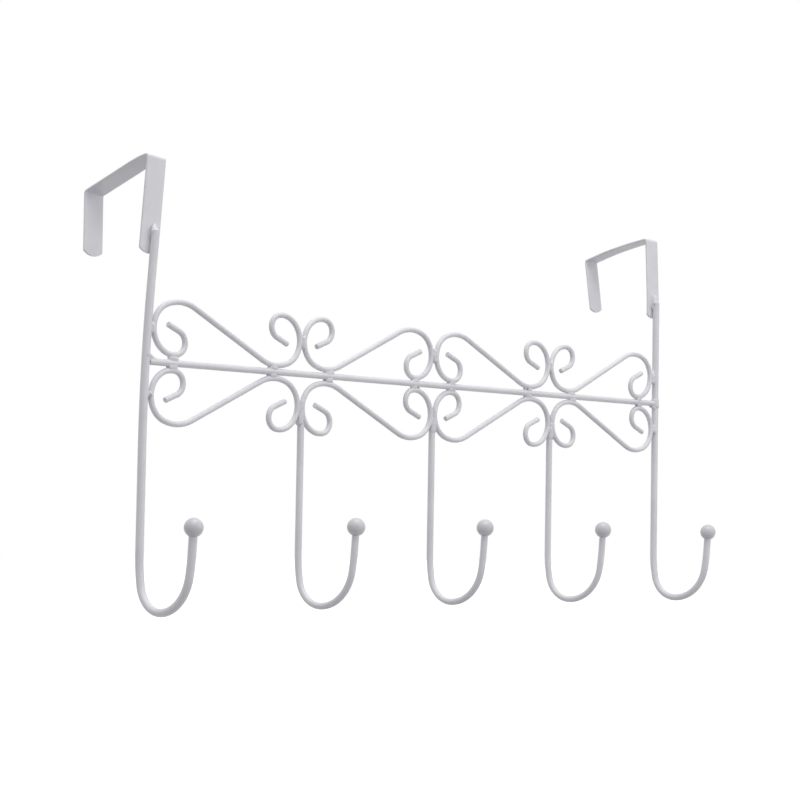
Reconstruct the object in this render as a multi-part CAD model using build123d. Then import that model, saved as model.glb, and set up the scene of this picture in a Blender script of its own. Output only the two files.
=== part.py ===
from build123d import *
import math
import os

# Over-the-door hook rail, in millimetres. Every surface size includes the coating.
# The origin is at mid-length, where the door's front face meets its top edge.
# +X runs along the rail, +Y goes back through the door and +Z is up.

# Wires and strip
UPRIGHT_D = 4.2
HOOK_D = 3.7
BAR_D = 3.5
SCROLL_D = 3.0
STRIP_W = 12.0
STRIP_T = 1.2
STRIP_EDGE_R = 0.45

# Layout of the rail
PITCH = 104.0
UPRIGHT_X = 210.5
RAIL_Y = -(UPRIGHT_D / 2 + STRIP_T)
BAR_Z = -100.0
ROOT_GAP = 0.15
HOOK_TOP_DROP = 26.2

# J hook: the bends from the straight shank round to the ball, and the last straight run
J_START_DROP = 94.6
J_BENDS = [(76.5, 11.35), (15.4, 78.65), (22.7, 80.0), (114.0, 6.0)]
J_TIP_RUN = 9.4
BALL_R = 4.75
BALL_SOCKET = 3.2
# From left to right, how far each hook hangs to the side of its place, how much lower its J
# starts, and how many degrees its ball is turned towards +X
HOOK_SETTINGS = [(0.0, 0.4, -1.5), (0.7, -0.5, 2.0), (-0.7, -0.6, -0.4), (0.0, 0.0, 0.8), (0.0, 0.9, 1.2)]

# Scroll: half of the S from its middle, as a straight run, three bends and a straight tail
SCROLL_SLOPE = 25.6
SCROLL_HALF_RUN = 25.55
SCROLL_BENDS = [(23.4, 46.4), (13.0, 171.0), (6.1, 146.0)]
SCROLL_TAIL = 8.3
TAIL_ROUND = 0.3
# Each scroll was bent and set by hand. From left to right, its size, its shift along the
# rail, its mean gap to the bar, and its tilt in degrees, counter-clockwise from the front
SCROLL_SETTINGS = {
    "upper": [(1, 0.9, 0.6, -0.65), (1, -0.1, 0.2, -0.2), (1, -0.1, 0.38, 0.38), (1, -1.2, 0.18, 0.15)],
    "lower": [(1, 0.1, 0.2, 0.15), (1.007, -0.4, 0.58, 0.38), (1.014, -0.2, 0.15, 0), (1, 0.3, 0.35, -0.28)],
}

# The left upright leans towards the middle of the rail, above a long gentle bend
LEAN_ANGLE = 4.5
LEAN_RADIUS = 1000.0
LEAN_START_DROP = 42.0

# Brackets: corner bend, rounded ends, and how far the upright runs up the front leg
CORNER_R = 1.3
BOW_R = 150.0
END_ROUND_R = 8.5
CUT_DEPTH = 8.0
LAP = 10.0
LEG_END_Z = -45.0
LEFT_LEG_EXTRA = 1.5
LEFT_STRIP_SHIFT = -1.3

# Weld beads between the bar and the scrolls
BEAD_R = 1.75
BEAD_RUN = 3.2
WIDE_BEAD_SHIFT = 2.2

# Weld beads between upright stretches of wire: one in each groove, or one that fills a gap
GROOVE_R = 1.0
GROOVE_APART = 1.4
GAP_SHARE = 0.25
OPEN_GAP = 1.0
OPEN_BEAD_R = 1.4
SIDE_BEAD_RUN = 3.0
LONG_BEAD_RUN = 5.0
CROTCH_BEAD_R = 2.35
CROTCH_BEAD_DROPS = (18.4, 25.6)
CROTCH_GROOVE_DROP = 16.0

# Welds at the bar's ends: gussets above (+1) or below (-1) the bar, each with its rise from
# the bar's axis, its run from the upright's axis and its radius, and a collar on the right
GUSSETS = {-1: [(1, 3.3, 7.5, 2.0)], 1: [(-1, 2.8, 7.5, 1.9), (1, 1.7, 5.0, 1.7)]}
GUSSET_TOE_R = 0.8
GUSSET_TOE_RISE = 0.6
COLLAR_R = 2.6
COLLAR_END_R = 1.9
COLLAR_HALF = 3.2
COLLAR_TAPER = 1.0

# Welds on the brackets: a ramp over the upright's top end, with its height, its radius at
# the top and how far it leans back, and the side and length of each seam beside the lap
RAMPS = {-1: (2.8, 0.9, 1.6), 1: (3.4, 1.5, 1.0)}
RAMP_FOOT_R = 2.4
RAMP_FOOT_DROP = 0.6
RAMP_FOOT_BACK = 0.8
SEAMS = {-1: [(1, 7.2)], 1: [(-1, 2.4), (1, 7.2)]}
SEAM_R = 0.9
SEAM_ASIDE = 1.6
SEAM_BACK = 1.7
SEAM_DROP = 0.9

X_AXIS = Vector(1, 0, 0)
Y_AXIS = Vector(0, 1, 0)
Z_AXIS = Vector(0, 0, 1)


def turn(vector, axis, angle):
    """A vector turned about an axis through the origin."""
    return vector.rotate(Axis((0, 0, 0), axis), angle)


def bend_wire(start, direction, steps):
    """Edges, end and end heading of a wire that is fed straight or bent, step after step."""
    edges = []
    point = Vector(*start)
    heading = Vector(*direction).normalized()
    for step in steps:
        if step[0] == "feed":
            end = point + heading * step[1]
            edges.append(Edge.make_line(point, end))
        else:
            _, radius, angle, axis = step
            centre = point + axis.cross(heading) * radius
            middle = centre + turn(point - centre, axis, angle / 2)
            end = centre + turn(point - centre, axis, angle)
            edges.append(Edge.make_three_point_arc(point, middle, end))
            heading = turn(heading, axis, angle)
        point = end
    return edges, point, heading


def round_wire(edges, diameter, seam):
    """A round wire along joined edges. Its surface closes on the seam side, away from the welds."""
    path = Wire(edges)
    section = Plane(origin=path @ 0, x_dir=seam, z_dir=path % 0) * Circle(diameter / 2)
    return sweep(section, path=path)


def rod(start, end, radius):
    """A straight round rod between two points."""
    run = end - start
    return Solid.make_cylinder(radius, run.length, Plane(origin=start, z_dir=run))


def capsule(start, end, radius, end_radius):
    """A rod with round ends that are centred on its two points, which may taper to its end."""
    run = end - start
    half = run.length / 2
    slant = math.degrees(math.asin((radius - end_radius) / run.length))
    foot = CenterArc((0, -half), radius, -90, 90 + slant)
    tip = CenterArc((0, half), end_radius, slant, 90 - slant)
    sides = Line(foot @ 1, tip @ 0) + Line((0, half + end_radius), (0, -half - radius))
    form = revolve(Plane.XZ * make_face(foot + tip + sides), Axis.Z)
    return Plane(origin=(start + end) / 2, z_dir=run) * form


def cone(start, start_radius, end, end_radius):
    """A round cone between two points."""
    run = end - start
    return Solid.make_cone(start_radius, end_radius, run.length, Plane(origin=start, z_dir=run))


def fitted(bead, *pieces):
    """A weld bead that only fills the room between the pieces that it joins."""
    return bead - list(pieces)


# J hooks and their balls
def j_steps(angle):
    """The bends of a J whose ball is turned towards +X by an angle."""
    axis = turn(-X_AXIS, Z_AXIS, angle)
    return [("bend", radius, bend, axis) for radius, bend in J_BENDS] + [("feed", J_TIP_RUN)]


def centre_hook(number):
    """A shank that hangs from the crotch of two scrolls, and its J."""
    shift, drop, angle = HOOK_SETTINGS[number]
    top = Vector((number - 2) * PITCH + shift, RAIL_Y, BAR_Z - HOOK_TOP_DROP)
    steps = [("feed", J_START_DROP + drop - HOOK_TOP_DROP)] + j_steps(angle)
    edges, tip, heading = bend_wire(top, -Z_AXIS, steps)
    return round_wire(edges, HOOK_D, X_AXIS), tip, heading


def end_hook(side):
    """One upright and its J, bent from one rod, with the point and heading of both its ends."""
    shift, drop, angle = HOOK_SETTINGS[0 if side < 0 else -1]
    foot = Vector(side * UPRIGHT_X + shift, RAIL_Y, BAR_Z - LEAN_START_DROP)
    steps = [("feed", J_START_DROP + drop - LEAN_START_DROP)] + j_steps(angle)
    down, tip, heading = bend_wire(foot, -Z_AXIS, steps)
    rise = LEG_END_Z + LAP - foot.Z
    if side < 0:
        gentle = ("bend", LEAN_RADIUS, LEAN_ANGLE, Y_AXIS)
        _, above, lean = bend_wire(foot, Z_AXIS, [gentle])
        up, top, _ = bend_wire(foot, Z_AXIS, [gentle, ("feed", (foot.Z + rise - above.Z) / lean.Z)])
    else:
        up, top, _ = bend_wire(foot, Z_AXIS, [("feed", rise)])
    return round_wire([*reversed(up), *down], UPRIGHT_D, X_AXIS * side), tip, heading, top


def ball_tip(tip, heading, wire_d):
    """A ball, bored so that the end of the wire seats in it."""
    centre = tip + heading * (BALL_R - BALL_SOCKET)
    socket = rod(tip - heading * 2 * BALL_R, tip, wire_d / 2)
    return Pos(*centre) * Sphere(BALL_R) - socket


# Scrolls
SLOPE = math.radians(SCROLL_SLOPE)
WIDE_R, WIDE_TURN = SCROLL_BENDS[0]
TIGHT_R = SCROLL_BENDS[1][0]
TIGHT_START = math.radians(WIDE_TURN) - SLOPE
# Centre line of an S, measured from its middle: its top, and where its curves are lowest
SCROLL_RISE = SCROLL_HALF_RUN * math.sin(SLOPE) + WIDE_R * (1 - math.cos(SLOPE))
WIDE_REACH = SCROLL_HALF_RUN * math.cos(SLOPE) + WIDE_R * math.sin(SLOPE)
TIGHT_REACH = WIDE_REACH + (WIDE_R - TIGHT_R) * math.sin(TIGHT_START)
SIDE_REACH = TIGHT_REACH + TIGHT_R


def scroll(middle, hand, size, tilt):
    """One S in the plane of the rail. With hand +1 its upper left loop is the wide one."""
    half = [("feed", SCROLL_HALF_RUN * size)]
    half += [("bend", radius * size, angle, -Y_AXIS * hand) for radius, angle in SCROLL_BENDS]
    half += [("feed", SCROLL_TAIL * size)]
    start_heading = Vector(-math.cos(SLOPE) * hand, 0, math.sin(SLOPE))
    edges, _, _ = bend_wire(middle, start_heading, half)
    turned = [edge.rotate(Axis(middle, Y_AXIS), 180) for edge in edges]
    wire = round_wire([*reversed(edges), *turned], SCROLL_D, Y_AXIS)
    rims = wire.faces().filter_by(GeomType.PLANE).edges()
    return fillet(rims, TAIL_ROUND).rotate(Axis(middle, -Y_AXIS), tilt)


def scroll_places():
    """Key, middle, cell side, level, size and tilt of each scroll: neighbours mirror each other."""
    for level, word in ((1, "upper"), (-1, "lower")):
        for cell, (size, shift, gap, tilt) in enumerate(SCROLL_SETTINGS[word]):
            rise = BAR_D / 2 + gap + SCROLL_D / 2 + SCROLL_RISE * size
            middle = Vector((cell - 1.5) * PITCH + shift, RAIL_Y, BAR_Z + level * rise)
            yield (word, cell + 1), middle, (-1) ** cell, level, size, tilt


def groove_weld(left_x, right_x, z, run):
    """Beads along two upright stretches of wire, whose surfaces face each other across a gap."""
    gap = right_x - left_x
    if gap < OPEN_GAP:
        radius = GROOVE_R + GAP_SHARE * gap
        places = (-GROOVE_APART, GROOVE_APART)
    else:
        radius = OPEN_BEAD_R + GAP_SHARE * gap
        places = (0,)
    half_run = Z_AXIS * run / 2
    centres = [Vector((left_x + right_x) / 2, RAIL_Y + place, z) for place in places]
    return [capsule(centre - half_run, centre + half_run, radius, radius) for centre in centres]


# Door brackets
# Each outline is the middle line of the strip in (y, z), from the front leg's end to the
# back leg's end, with the radius of the bend at each corner between
FRONT_Y = -STRIP_T / 2
BRACKET_LINES = {
    1: (
        [(FRONT_Y, LEG_END_Z), (FRONT_Y, -32.0), (1.1, 6.0), (16.0, 3.7), (32.7, 0.3), (50.2, -4.7)]
        + [(45.4, -38.6)],
        [BOW_R, CORNER_R, BOW_R, BOW_R, CORNER_R],
    ),
    -1: (
        [(FRONT_Y, LEG_END_Z - LEFT_LEG_EXTRA), (FRONT_Y, 2.9), (5.6, 1.9), (12.5, 0.0), (47.5, -11.6)]
        + [(43.8, -44.6)],
        [CORNER_R, 30.0, 40.0, CORNER_R],
    ),
}


def end_offcut(end, inward):
    """What is cut from a leg's end to round it across its width."""
    side = X_AXIS.cross(inward)
    frame = Plane(origin=end + inward * END_ROUND_R, x_dir=X_AXIS, z_dir=side)
    chord = math.sqrt(END_ROUND_R**2 - (STRIP_W / 2) ** 2)
    depth = 2 * END_ROUND_R - chord
    block = Pos(0, -chord - depth / 2, 0) * Box(2 * STRIP_W, depth, CUT_DEPTH)
    return frame * (block - Cylinder(END_ROUND_R, 2 * CUT_DEPTH))


def door_bracket(side):
    """A strip with rounded edges, bent over the door's top edge, as if it stood at X = 0."""
    points, radii = BRACKET_LINES[side]
    path = Plane.YZ * FilletPolyline(*points, radius=radii)
    start = Plane(origin=path @ 0, x_dir=X_AXIS, z_dir=path % 0)
    strip = sweep(start * RectangleRounded(STRIP_W, STRIP_T, STRIP_EDGE_R), path=path)
    ends = [Vector(0, *point) for point in (points[0], points[1], points[-1], points[-2])]
    strip = strip - end_offcut(ends[0], (ends[1] - ends[0]).normalized())
    return strip - end_offcut(ends[2], (ends[3] - ends[2]).normalized())


def bracket_weld(side, top, strip, shank):
    """A ramp over the upright's top end and seams down the sides of the lap."""
    height, top_radius, lean_back = RAMPS[side]
    foot = top + Vector(0, RAMP_FOOT_BACK, -RAMP_FOOT_DROP)
    peak = top + Vector(0, lean_back, height)
    bead = capsule(foot, peak, RAMP_FOOT_R, top_radius)
    for aside, run in SEAMS[side]:
        high = top + Vector(aside * SEAM_ASIDE, SEAM_BACK, -SEAM_DROP)
        bead = bead + capsule(high - Z_AXIS * run, high, SEAM_R, SEAM_R)
    return fitted(bead, strip, shank)


def bar_end_weld(side, crossing):
    """The gussets in the corners of the bar and an upright, and on the right a collar too."""
    beads = []
    for level, rise, run, radius in GUSSETS[side]:
        start = crossing + Z_AXIS * level * rise
        toe = crossing - X_AXIS * side * run + Z_AXIS * level * GUSSET_TOE_RISE
        beads.append(cone(start, radius, toe, GUSSET_TOE_R))
    if side > 0:
        straight = Z_AXIS * (COLLAR_HALF - COLLAR_TAPER)
        beads.append(rod(crossing - straight, crossing + straight, COLLAR_R))
        for level in (-1, 1):
            rim = crossing + straight * level
            beads.append(cone(rim, COLLAR_R, crossing + Z_AXIS * level * COLLAR_HALF, COLLAR_END_R))
    weld = beads[0]
    for bead in beads[1:]:
        weld = weld + bead
    return weld


# Build every piece
parts = {}

uprights = {side: end_hook(side) for side in (-1, 1)}
centre_hooks = [centre_hook(number) for number in (1, 2, 3)]
parts["end_hook_left"] = uprights[-1][0]
parts["end_hook_right"] = uprights[1][0]
for number, hook in enumerate(centre_hooks, 1):
    parts[f"centre_hook_{number}"] = hook[0]

tips = [(uprights[-1], UPRIGHT_D)] + [(hook, HOOK_D) for hook in centre_hooks] + [(uprights[1], UPRIGHT_D)]
for number, (hook, wire_d) in enumerate(tips, 1):
    parts[f"ball_tip_{number}"] = ball_tip(hook[1], hook[2], wire_d)

# The bar stops just short of the uprights
lean_at_bar = LEAN_RADIUS - math.sqrt(LEAN_RADIUS**2 - LEAN_START_DROP**2)
crossings = {
    -1: Vector(-UPRIGHT_X + lean_at_bar, RAIL_Y, BAR_Z),
    1: Vector(UPRIGHT_X, RAIL_Y, BAR_Z),
}
bar_inset = X_AXIS * (UPRIGHT_D / 2 + ROOT_GAP)
parts["crossbar"] = rod(crossings[-1] + bar_inset, crossings[1] - bar_inset, BAR_D / 2)
end_beads = []
for side in (-1, 1):
    weld = bar_end_weld(side, crossings[side])
    end_beads.append(fitted(weld, uprights[side][0], parts["crossbar"]))
parts["bar_end_welds"] = Compound(children=end_beads)

scrolls = {}
edges_x = {}
bar_beads = []
for key, middle, cell_side, level, size, tilt in scroll_places():
    piece = scroll(middle, cell_side * level, size, tilt)
    scrolls[key] = piece
    reach = SIDE_REACH * size + SCROLL_D / 2
    edges_x[key] = (middle.X - reach, middle.X + reach)
    for reach, shift, way in ((WIDE_REACH, WIDE_BEAD_SHIFT, cell_side), (TIGHT_REACH, 0, -cell_side)):
        lowest = middle + turn(Vector(way * reach, 0, -level * SCROLL_RISE) * size, -Y_AXIS, tilt)
        seam_z = (lowest.Z - level * SCROLL_D / 2 + BAR_Z + level * BAR_D / 2) / 2
        centre = Vector(lowest.X - way * shift, RAIL_Y, seam_z)
        half_run = X_AXIS * BEAD_RUN / 2
        bead = capsule(centre - half_run, centre + half_run, BEAD_R, BEAD_R)
        bar_beads.append(fitted(bead, piece, parts["crossbar"]))
for (word, number), piece in scrolls.items():
    parts[f"scroll_{word}_{number}"] = piece
parts["scroll_bar_welds"] = Compound(children=bar_beads)

# The outer scrolls are welded to the uprights, and each upper loop to its neighbour
side_beads = []
pair_beads = []
for word, level, right_run in (("upper", 1, LONG_BEAD_RUN), ("lower", -1, SIDE_BEAD_RUN)):
    loops_z = BAR_Z + level * (BAR_D / 2 + SCROLL_D / 2 + SCROLL_RISE)
    lean_here = (LEAN_START_DROP + loops_z - BAR_Z) ** 2 / (2 * LEAN_RADIUS)
    left_face = -UPRIGHT_X + UPRIGHT_D / 2 + lean_here
    for bead in groove_weld(left_face, edges_x[word, 1][0], loops_z, SIDE_BEAD_RUN):
        side_beads.append(fitted(bead, scrolls[word, 1], uprights[-1][0]))
    for bead in groove_weld(edges_x[word, 4][1], UPRIGHT_X - UPRIGHT_D / 2, loops_z, right_run):
        side_beads.append(fitted(bead, scrolls[word, 4], uprights[1][0]))
    if level > 0:
        for number in (1, 2, 3):
            left, right = (word, number), (word, number + 1)
            for bead in groove_weld(edges_x[left][1], edges_x[right][0], loops_z, LONG_BEAD_RUN):
                pair_beads.append(fitted(bead, scrolls[left], scrolls[right]))
parts["scroll_side_welds"] = Compound(children=side_beads)
parts["scroll_pair_welds"] = Compound(children=pair_beads)

# Each shank's square top end is welded into the crotch of the two lower loops above it
crotch_beads = []
for number in (1, 2, 3):
    left, right = ("lower", number), ("lower", number + 1)
    left_x, right_x = edges_x[left][1], edges_x[right][0]
    high, low = [Vector((left_x + right_x) / 2, RAIL_Y, BAR_Z - drop) for drop in CROTCH_BEAD_DROPS]
    weld = capsule(high, low, CROTCH_BEAD_R, CROTCH_BEAD_R)
    for bead in groove_weld(left_x, right_x, BAR_Z - CROTCH_GROOVE_DROP, LONG_BEAD_RUN):
        weld = weld + bead
    crotch_beads.append(fitted(weld, parts[f"centre_hook_{number}"], scrolls[left], scrolls[right]))
parts["hook_top_welds"] = Compound(children=crotch_beads)

bracket_beads = []
for side, word in ((-1, "left"), (1, "right")):
    top = uprights[side][3]
    local_top = Vector(0, RAIL_Y, LEG_END_Z + LAP)
    tilt = LEAN_ANGLE if side < 0 else 0
    place = Pos(top.X, 0, top.Z) * Rot(0, tilt, 0) * Pos(0, 0, -local_top.Z)
    local_shank = rod(local_top - Z_AXIS * 2 * LAP, local_top, UPRIGHT_D / 2)
    strip = door_bracket(side)
    if side < 0:
        strip = Pos(LEFT_STRIP_SHIFT, 0, 0) * strip
    parts[f"door_bracket_{word}"] = place * strip
    bracket_beads.append(place * bracket_weld(side, local_top, strip, local_shank))
parts["bracket_welds"] = Compound(children=bracket_beads)

os.makedirs("parts", exist_ok=True)
for name, shape in parts.items():
    export_step(shape, f"parts/{name}.step")
    print(name, len(shape.solids()), round(shape.volume, 1))
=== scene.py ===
# %% [markdown]
# # A wire hook rail, dressed for its picture
#
# The object is a rail that hangs over a door. It is bent steel wire and strip, welded together and then
# powder coated white as one piece. The solids come from the frame and are already right in size and place.
# This script gives them their coating, replaces the plain weld beads with ones that look welded, and
# sets up the studio.

# %% Load the frame
import math

import bmesh
import bpy
from mathutils import Matrix, Vector, noise
from mathutils.bvhtree import BVHTree


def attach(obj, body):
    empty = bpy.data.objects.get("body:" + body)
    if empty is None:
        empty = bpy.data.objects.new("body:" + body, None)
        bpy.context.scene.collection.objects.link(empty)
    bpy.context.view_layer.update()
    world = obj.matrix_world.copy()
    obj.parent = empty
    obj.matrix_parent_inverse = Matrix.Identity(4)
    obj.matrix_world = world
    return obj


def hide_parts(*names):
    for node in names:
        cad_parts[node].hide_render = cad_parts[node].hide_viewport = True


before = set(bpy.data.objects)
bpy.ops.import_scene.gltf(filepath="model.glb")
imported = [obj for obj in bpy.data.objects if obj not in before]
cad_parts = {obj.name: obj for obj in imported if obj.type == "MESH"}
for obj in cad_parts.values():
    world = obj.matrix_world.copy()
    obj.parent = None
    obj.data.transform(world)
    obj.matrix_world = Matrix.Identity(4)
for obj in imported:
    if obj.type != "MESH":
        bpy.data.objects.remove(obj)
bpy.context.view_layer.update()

MM = 0.001
print("frame nodes:", len(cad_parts))

# %% [markdown]
# ## Colours and nodes
#
# Colours are written as the hex values that a screen shows. Blender's shaders want linear light, so one
# function turns them. A second small function adds a shader node with its settings and links in one line.

# %% Two helpers
def linear(hex_colour):
    """A screen colour such as E4E3E9 as linear red, green, blue and alpha."""
    channels = [int(hex_colour[i : i + 2], 16) / 255 for i in (0, 2, 4)]
    curve = [c / 12.92 if c <= 0.04045 else ((c + 0.055) / 1.055) ** 2.4 for c in channels]
    return (*curve, 1.0)


def add_node(tree, kind, values=None, links=None, **settings):
    """Adds a node, sets its properties and socket values, and links its inputs."""
    node = tree.nodes.new(kind)
    for name, value in settings.items():
        setattr(node, name, value)
    for socket, value in (values or {}).items():
        node.inputs[socket].default_value = value
    for socket, source in (links or {}).items():
        tree.links.new(source, node.inputs[socket])
    return node


print("coat white in linear light:", [round(c, 3) for c in linear("E4E3E9")])

# %% [markdown]
# ## Powder coat
#
# The finish is a satin polyester powder, sprayed on dry and melted in an oven. Up close it has a fine orange
# peel, because the powder never flows out quite flat, and a slower waviness where the coat is thicker. The
# colour is nearly even, with faint cloudy patches. A few small dark specks are pinholes, where gas broke
# through the melting powder.
#
# One function makes the coat, and each group of pieces gets its own copy with small differences. The balls'
# copy is darker than the rest, which is painted shade. All patterns read Object coordinates, which are
# metres, so each scale is a count of features per metre.

# %% The powder coat material
PEEL_SIZE = 1.3 * MM
WAVE_SIZE = 9.0 * MM
CLOUD_SIZE = 22.0 * MM
CLOUD_EDGES = (0.42, 0.62)
SPECK_SPACING = 9.0 * MM
SPECK_RADIUS = 0.035
SPECK_COLOUR, SPECK_SHARE = "6F6C6A", 0.55
GLOSS_SPREAD = (-0.05, 0.07)
# Noise stays near its middle, so a relief's full height is set to some times its visible depth
RELIEF_HEIGHT, RELIEF_STRENGTH = 4, 0.6
COAT_IOR = 1.5
# Where the Mix node keeps its factor, its two colours and its coloured result
MIX_FACTOR, MIX_A, MIX_B, MIX_RESULT = 0, 6, 7, 2


def powder_coat(name, colour, patch_colour, roughness, peel=0.006, wave=0.02):
    """Satin white powder on steel: peel and wave are the depths of its relief in mm."""
    material = bpy.data.materials.new(name)
    material.use_nodes = True
    tree = material.node_tree
    shader = tree.nodes["Principled BSDF"]
    place = add_node(tree, "ShaderNodeTexCoord").outputs["Object"]

    cloud = add_node(
        tree, "ShaderNodeTexNoise", {"Scale": 1 / CLOUD_SIZE, "Detail": 3.0, "Roughness": 0.55},
        {"Vector": place},
    )
    cloud_share = add_node(
        tree, "ShaderNodeMapRange", {"From Min": CLOUD_EDGES[0], "From Max": CLOUD_EDGES[1]},
        {"Value": cloud.outputs["Fac"]},
    )
    patchy = add_node(
        tree, "ShaderNodeMix", {MIX_A: linear(colour), MIX_B: linear(patch_colour)},
        {MIX_FACTOR: cloud_share.outputs["Result"]}, data_type="RGBA",
    )
    cells = add_node(tree, "ShaderNodeTexVoronoi", {"Scale": 1 / SPECK_SPACING}, {"Vector": place})
    speck_share = add_node(
        tree, "ShaderNodeMapRange",
        {"From Min": SPECK_RADIUS, "From Max": 0.6 * SPECK_RADIUS, "To Max": SPECK_SHARE},
        {"Value": cells.outputs["Distance"]},
    )
    specked = add_node(
        tree, "ShaderNodeMix", {MIX_B: linear(SPECK_COLOUR)},
        {MIX_FACTOR: speck_share.outputs["Result"], MIX_A: patchy.outputs[MIX_RESULT]}, data_type="RGBA",
    )
    tree.links.new(specked.outputs[MIX_RESULT], shader.inputs["Base Color"])

    fine = add_node(
        tree, "ShaderNodeTexNoise", {"Scale": 1 / PEEL_SIZE, "Detail": 2.0, "Roughness": 0.5},
        {"Vector": place},
    )
    slow = add_node(
        tree, "ShaderNodeTexNoise", {"Scale": 1 / WAVE_SIZE, "Detail": 1.0, "Roughness": 0.4},
        {"Vector": place},
    )
    wave_bump = add_node(
        tree, "ShaderNodeBump", {"Strength": RELIEF_STRENGTH, "Distance": wave * MM * RELIEF_HEIGHT},
        {"Height": slow.outputs["Fac"]},
    )
    peel_bump = add_node(
        tree, "ShaderNodeBump", {"Strength": RELIEF_STRENGTH, "Distance": peel * MM * RELIEF_HEIGHT},
        {"Height": fine.outputs["Fac"], "Normal": wave_bump.outputs["Normal"]},
    )
    tree.links.new(peel_bump.outputs["Normal"], shader.inputs["Normal"])

    gloss_patch = add_node(
        tree, "ShaderNodeMapRange",
        {"To Min": roughness + GLOSS_SPREAD[0], "To Max": roughness + GLOSS_SPREAD[1]},
        {"Value": slow.outputs["Fac"]},
    )
    tree.links.new(gloss_patch.outputs["Result"], shader.inputs["Roughness"])
    shader.inputs["IOR"].default_value = COAT_IOR
    return material


wire_coat = powder_coat("satin powder on wire", "E3E2E7", "DDDCE2", 0.42)
strip_coat = powder_coat("satin powder on strip", "E4E4E9", "DEDEE4", 0.46, wave=0.05)
# The balls' coat is painted darker than the wires' coat of the same powder: painted shade for their darker
# fronts and lower halves. Its lower roughness is their glossier satin.
ball_coat_painted_darker = powder_coat("satin powder on balls, painted darker for shade", "D0CFD4", "C9C8CE", 0.30)
weld_coat = powder_coat("satin powder on welds", "E0DFE4", "D7D6DC", 0.45, peel=0.02, wave=0.06)
print("coats:", [m.name for m in (wire_coat, strip_coat, ball_coat_painted_darker, weld_coat)])

# %% Dress the CAD pieces
COATS = {"ball": ball_coat_painted_darker, "door": strip_coat}
for name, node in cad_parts.items():
    coat = weld_coat if name.endswith("welds") else COATS.get(name.split("_")[0], wire_coat)
    if not node.material_slots:
        node.data.materials.append(coat)
    for slot in node.material_slots:
        slot.material = coat
print("dressed:", len(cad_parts))

# %% [markdown]
# ## Welds
#
# The wires touch each other, and each joint was melted together with a small bead. Real beads are lumpy:
# the metal flows into the groove between the wires, stands a little proud of it and thins out along them,
# and the powder softens all of it. A boolean union would leave sharp creases, and a remesh of the whole
# rail would spoil its clean wires. So each joint gets its own skin. It starts as a small icosphere inside
# the joint, and every vertex is pushed straight out until it meets a surface that melts the wires and the
# plain CAD bead together.
#
# First, each CAD piece gets a search tree, which finds its nearest surface point. The normal there tells
# whether a place lies inside, so the distance gets a minus sign. On a sharp rim one face alone can tell
# wrong, so the normals of all faces that meet there are added up.

# %% Distances to the CAD pieces
RIM_REACH = 0.01 * MM
MERGE_REACH = 0.002 * MM


def merged(node):
    """A copy of a CAD mesh, whose loose triangles are joined."""
    form = bmesh.new()
    form.from_mesh(node.data)
    bmesh.ops.remove_doubles(form, verts=form.verts, dist=MERGE_REACH)
    return form


def distance(tree, place):
    """How far a place is outside a solid, or below zero how deep inside it."""
    nearest, normal, _, gap = tree.find_nearest(place)
    outward = place - nearest
    if outward.dot(normal) < 0:
        normal = sum((found[1] for found in tree.find_nearest_range(nearest, RIM_REACH)), normal)
    return math.copysign(gap, outward.dot(normal))


WELD_NODES = [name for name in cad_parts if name.endswith("welds")]
wire_trees = {}
for name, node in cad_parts.items():
    if name not in WELD_NODES:
        form = merged(node)
        wire_trees[name] = BVHTree.FromBMesh(form)
        form.free()
print("search trees:", len(wire_trees))

# %% [markdown]
# A weld node holds several separate beads. Each joint is one bead, or a pair that faces each other across
# two wires, so beads whose middles are close together belong to one joint.

# %% Find the joints
PAIR_REACH = 4.5 * MM


def beads_of(form):
    """The separate beads of a mesh, each as its list of vertices."""
    left = set(form.verts)
    beads = []
    while left:
        found = [left.pop()]
        for vert in found:
            for edge in vert.link_edges:
                other = edge.other_vert(vert)
                if other in left:
                    left.discard(other)
                    found.append(other)
        beads.append(found)
    return beads


def middle_of(verts):
    """The middle of the box round some vertices."""
    low = Vector([min(v.co[i] for v in verts) for i in range(3)])
    high = Vector([max(v.co[i] for v in verts) for i in range(3)])
    return (low + high) / 2


joints = {}
for name in WELD_NODES:
    form = merged(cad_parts[name])
    middles = [middle_of(bead) for bead in beads_of(form)]
    places = []
    for middle in sorted(middles, key=lambda m: (round(m.x, 4), m.y)):
        for group in places:
            if (group[0] - middle).length < PAIR_REACH:
                group.append(middle)
                break
        else:
            places.append([middle])
    joints[name] = [sum(group, Vector()) / len(group) for group in places]
    wire_trees[name] = BVHTree.FromBMesh(form)
    form.free()
print("joints:", {name: len(places) for name, places in joints.items()})

# %% [markdown]
# The melted surface is where a smooth minimum of the distances is zero. Further from the bead a growing
# amount is added, so the skin dives under the wires and closes inside them, where it can't be seen. Two
# layers of noise, about 2.4 mm and 1 mm across, make it lumpy. The beads are thin, so a place that seems to
# be deeper than 1.5 mm inside one is really outside. The beads between the bar and the scrolls are drawn in
# a little, as the real ones are small.

# %% Grow the weld skins
MELT = 0.8 * MM
SINK = 0.05 * MM
SKIN_REACH = 0.8 * MM
DIVE = 0.7
LUMP_SIZE, LUMP_DEPTH = 2.4 * MM, 0.25 * MM
GRAIN_SIZE, GRAIN_DEPTH = 0.9 * MM, 0.07 * MM
SHRINK = {"scroll_bar_welds": 0.12 * MM}
DEEPEST = 1.5 * MM
SAFE_DEPTH = 0.12 * MM
SEARCH = (-1.2, -0.6, 0, 0.6, 1.2)
# How far from a joint's middle a piece may be to melt into it
NEAR = 7 * MM
# The walk of each vertex: its steps, the share of the free distance in each, and where it ends
STEPS, STRIDE = 20, 0.85
CLOSE_ENOUGH = 0.01 * MM
FURTHEST = 11 * MM
SUBDIVISIONS, START_RADIUS, SMOOTHING = 5, 0.3 * MM, 0.4


def smooth_least(a, b):
    """The smaller of two distances, rounded where they are nearly equal."""
    share = max(MELT - abs(a - b), 0) / MELT
    return min(a, b) - share * share * MELT / 4


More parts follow.
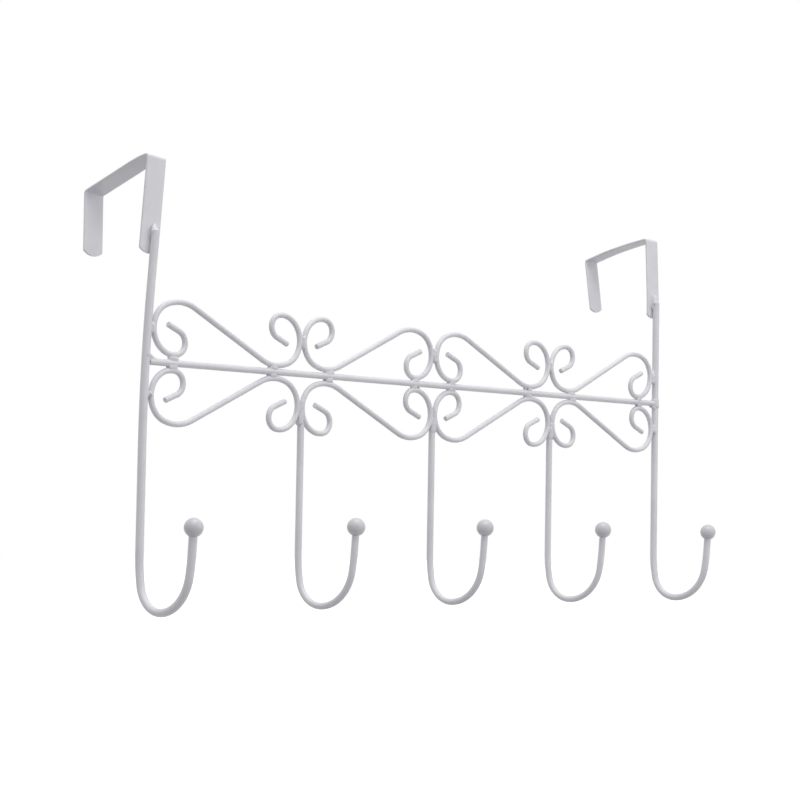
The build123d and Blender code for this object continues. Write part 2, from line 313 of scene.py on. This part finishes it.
def melted(place, wires, bead, shrink):
    """Distance to the surface of the joint with its bead run into it."""
    to_bead = distance(bead, place)
    if to_bead < -DEEPEST:
        to_bead = -to_bead
    to_bead += shrink
    least = to_bead
    for wire in wires:
        least = smooth_least(least, distance(wire, place))
    lump = noise.noise(place / LUMP_SIZE) * LUMP_DEPTH + noise.noise(place / GRAIN_SIZE) * GRAIN_DEPTH
    share = min(max(1 - to_bead / SKIN_REACH, 0), 1)
    return least + SINK + max(to_bead - SKIN_REACH, 0) * DIVE - lump * share


def start_place(middle, wires, bead, shrink):
    """The middle of a joint, or the deepest place round it where the middle is too near the outside."""
    if melted(middle, wires, bead, shrink) < -SAFE_DEPTH:
        return middle
    shifts = [Vector((x, y, z)) * MM for x in SEARCH for y in SEARCH for z in SEARCH]
    return min((middle + shift for shift in shifts), key=lambda place: melted(place, wires, bead, shrink))


def grow_skin(middle, wires, bead, shrink):
    """An icosphere in a joint, pushed out to the melted surface."""
    middle = start_place(middle, wires, bead, shrink)
    skin = bmesh.new()
    bmesh.ops.create_icosphere(skin, subdivisions=SUBDIVISIONS, radius=START_RADIUS)
    for vert in skin.verts:
        way = vert.co.normalized()
        run = 0.0
        for _ in range(STEPS):
            gap = -melted(middle + way * run, wires, bead, shrink)
            if gap < CLOSE_ENOUGH or run > FURTHEST:
                break
            run += STRIDE * gap
        vert.co = middle + way * run
    bmesh.ops.smooth_vert(
        skin, verts=skin.verts, factor=SMOOTHING, use_axis_x=True, use_axis_y=True, use_axis_z=True
    )
    return skin


for name, places in joints.items():
    mesh = bpy.data.meshes.new(name + "_skin")
    whole = bmesh.new()
    for middle in places:
        wires = [
            tree for other, tree in wire_trees.items()
            if other not in WELD_NODES and tree.find_nearest(middle)[3] < NEAR
        ]
        skin = grow_skin(middle, wires, wire_trees[name], SHRINK.get(name, 0))
        skin.to_mesh(mesh)
        skin.free()
        whole.from_mesh(mesh)
    for face in whole.faces:
        face.smooth = True
    whole.to_mesh(mesh)
    whole.free()
    piece = bpy.data.objects.new(name + "_skin", mesh)
    bpy.context.scene.collection.objects.link(piece)
    mesh.materials.append(weld_coat)
    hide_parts(name)
    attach(piece, "root")

# %% [markdown]
# ## Camera
#
# The picture was taken from the left end, a little below the crossbar and slightly upwards, with a longer
# lens. The camera's place and angles were worked out from where the hooks, the bar and the brackets lie in
# the picture.

# %% Place the camera
CAMERA_PLACE = Vector((-846.1, -778.9, -170.6)) * MM
YAW, PITCH_UP, ROLL = 0.81245, 0.05385, 0.0175
FOCAL_PIXELS, FRAME_PIXELS, SENSOR = 2030.7, 800, 36.0
CLIP_START, CLIP_END = 0.05, 60

level = math.cos(PITCH_UP)
ahead = Vector((math.sin(YAW) * level, math.cos(YAW) * level, math.sin(PITCH_UP)))
level_right = Vector((math.cos(YAW), -math.sin(YAW), 0))
level_up = level_right.cross(ahead)
right = level_right * math.cos(ROLL) + level_up * math.sin(ROLL)
up = level_up * math.cos(ROLL) - level_right * math.sin(ROLL)

camera = bpy.data.objects.new("camera", bpy.data.cameras.new("camera"))
bpy.context.scene.collection.objects.link(camera)
axes = Matrix((right, up, -ahead)).transposed().to_4x4()
camera.matrix_world = Matrix.Translation(CAMERA_PLACE) @ axes
camera.data.sensor_width = SENSOR
camera.data.lens = FOCAL_PIXELS * SENSOR / FRAME_PIXELS
camera.data.clip_start, camera.data.clip_end = CLIP_START, CLIP_END
bpy.context.scene.camera = camera
print("lens in mm:", round(camera.data.lens, 1))

# %% [markdown]
# ## Studio
#
# The rail hangs free in a white room, under a wide soft light from above. The floor is a good way below it.
# Camera rays see floor and room as white. The light that reaches the rail is stronger from above and from
# the white backdrop behind it than from the side where the camera stands, so the rims of wires and balls
# are brighter than their middles, and undersides keep their shade.

# %% Floor
FLOOR_Z = -0.60
FLOOR_SIZE = 24.0
FLOOR_GLOW = 0.55

mesh = bpy.data.meshes.new("floor")
sheet = bmesh.new()
bmesh.ops.create_grid(sheet, x_segments=1, y_segments=1, size=FLOOR_SIZE / 2)
bmesh.ops.translate(sheet, verts=sheet.verts, vec=(0, 0, FLOOR_Z))
sheet.to_mesh(mesh)
sheet.free()
floor = bpy.data.objects.new("floor", mesh)
bpy.context.scene.collection.objects.link(floor)

paper = bpy.data.materials.new("white paper floor")
paper.use_nodes = True
tree = paper.node_tree
tree.nodes.clear()
path = add_node(tree, "ShaderNodeLightPath")
seen = add_node(
    tree, "ShaderNodeMath", None, {0: path.outputs["Is Camera Ray"], 1: path.outputs["Is Glossy Ray"]},
    operation="MAXIMUM",
)
lit = add_node(tree, "ShaderNodeBsdfDiffuse", {"Color": linear("FFFFFF")})
glow = add_node(tree, "ShaderNodeEmission", {"Color": linear("FFFFFF"), "Strength": FLOOR_GLOW})
bright = add_node(tree, "ShaderNodeAddShader", None, {0: lit.outputs[0], 1: glow.outputs[0]})
dull = add_node(tree, "ShaderNodeBsdfDiffuse", {"Color": linear("A4A4A6")})
choose = add_node(
    tree, "ShaderNodeMixShader", None, {0: seen.outputs[0], 1: dull.outputs[0], 2: bright.outputs[0]}
)
add_node(tree, "ShaderNodeOutputMaterial", None, {"Surface": choose.outputs[0]})
mesh.materials.append(paper)
print("floor at", FLOOR_Z, "m")

# %% Room
BACKDROP_SIDE = Vector((ahead.x, ahead.y, 0)).normalized()
LOW_LIGHT, HIGH_LIGHT, BACK_LIGHT = 0.50, 0.66, 0.10
OVERHEAD_EDGES = (-0.1, 0.7)
BEHIND_EDGES = (-0.3, 0.8)
ROOM_WHITE = 1.0

world = bpy.data.worlds.new("white room")
bpy.context.scene.world = world
world.use_nodes = True
tree = world.node_tree
tree.nodes.clear()
path = add_node(tree, "ShaderNodeLightPath")
seen = add_node(
    tree, "ShaderNodeMath", None, {0: path.outputs["Is Camera Ray"], 1: path.outputs["Is Glossy Ray"]},
    operation="MAXIMUM",
)
seen = add_node(
    tree, "ShaderNodeMath", None, {0: seen.outputs[0], 1: path.outputs["Is Transmission Ray"]},
    operation="MAXIMUM",
)
direction = add_node(tree, "ShaderNodeTexCoord").outputs["Generated"]
height = add_node(tree, "ShaderNodeSeparateXYZ", None, {0: direction}).outputs["Z"]
overhead = add_node(
    tree, "ShaderNodeMapRange",
    {
        "From Min": OVERHEAD_EDGES[0], "From Max": OVERHEAD_EDGES[1],
        "To Min": LOW_LIGHT, "To Max": HIGH_LIGHT,
    },
    {"Value": height},
)
backward = add_node(
    tree, "ShaderNodeVectorMath", {1: BACKDROP_SIDE}, {0: direction}, operation="DOT_PRODUCT"
).outputs["Value"]
behind = add_node(
    tree, "ShaderNodeMapRange",
    {"From Min": BEHIND_EDGES[0], "From Max": BEHIND_EDGES[1], "To Max": BACK_LIGHT}, {"Value": backward},
)
strength = add_node(
    tree, "ShaderNodeMath", None, {0: overhead.outputs["Result"], 1: behind.outputs["Result"]},
    operation="ADD",
)
room_light = add_node(
    tree, "ShaderNodeBackground", {"Color": linear("FFFFFF")}, {"Strength": strength.outputs[0]}
)
room_white = add_node(tree, "ShaderNodeBackground", {"Color": linear("FFFFFF"), "Strength": ROOM_WHITE})
choose = add_node(
    tree, "ShaderNodeMixShader", None,
    {0: seen.outputs[0], 1: room_light.outputs[0], 2: room_white.outputs[0]},
)
add_node(tree, "ShaderNodeOutputWorld", None, {"Surface": choose.outputs[0]})
print("backdrop side:", [round(v, 2) for v in BACKDROP_SIDE])

# %% Lamps
AIM = Vector((0, -0.01, -0.10))


def soft_lamp(name, place, size, watts):
    """A square soft box that faces the rail."""
    lamp = bpy.data.objects.new(name, bpy.data.lights.new(name, "AREA"))
    lamp.data.size = size
    lamp.data.energy = watts
    lamp.location = place
    lamp.rotation_euler = (AIM - lamp.location).to_track_quat("-Z", "Y").to_euler()
    bpy.context.scene.collection.objects.link(lamp)
    return lamp


soft_lamp("key above", Vector((-0.25, -0.35, 1.25)), 1.1, 11)
soft_lamp("fill from the right", Vector((0.55, -1.25, 0.1)), 1.0, 3.2)
bpy.context.scene.view_settings.view_transform = "Standard"
print("lamps aimed at", tuple(AIM))
